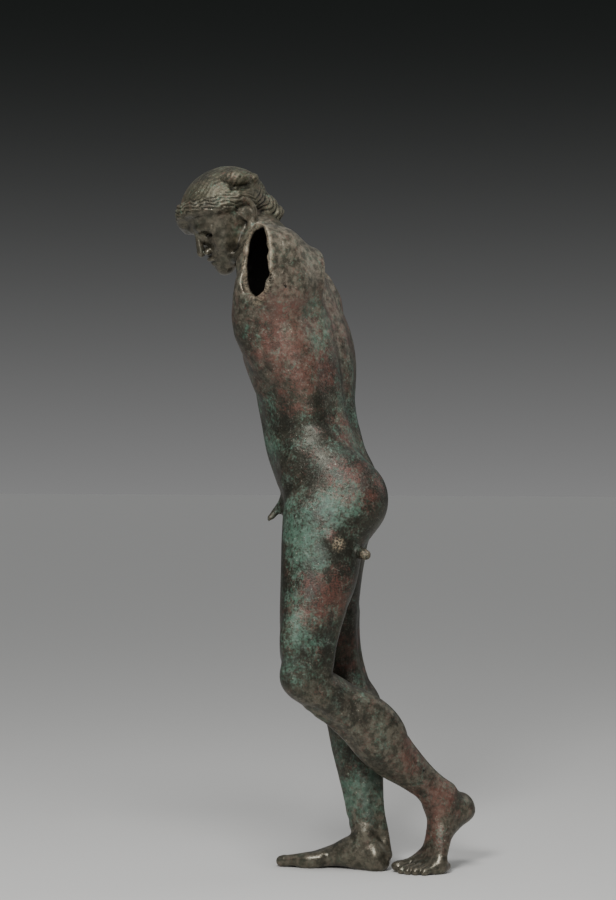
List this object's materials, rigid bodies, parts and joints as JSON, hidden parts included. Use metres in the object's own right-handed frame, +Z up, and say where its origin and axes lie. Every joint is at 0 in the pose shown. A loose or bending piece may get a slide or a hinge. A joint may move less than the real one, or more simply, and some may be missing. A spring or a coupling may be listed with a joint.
{
  "type": "bronze sculpture",
  "caption": "Life-size bronze figure of a nude youth stepping forward with bowed head, arms broken off at the shoulders, standing on its own feet.",
  "frame": {"origin": "centre of the bounding box in plan, at the lowest face of the soles", "axes": "+Z up; the figure's right foot points along -Y, its left side is +X"},
  "size_m": [0.4036, 0.6386, 1.5186],
  "materials": {
    "bronze": "dark olive-brown weathered patina"
  },
  "bodies": {
    "root": {"figure": "bronze"}
  },
  "joints": []
}
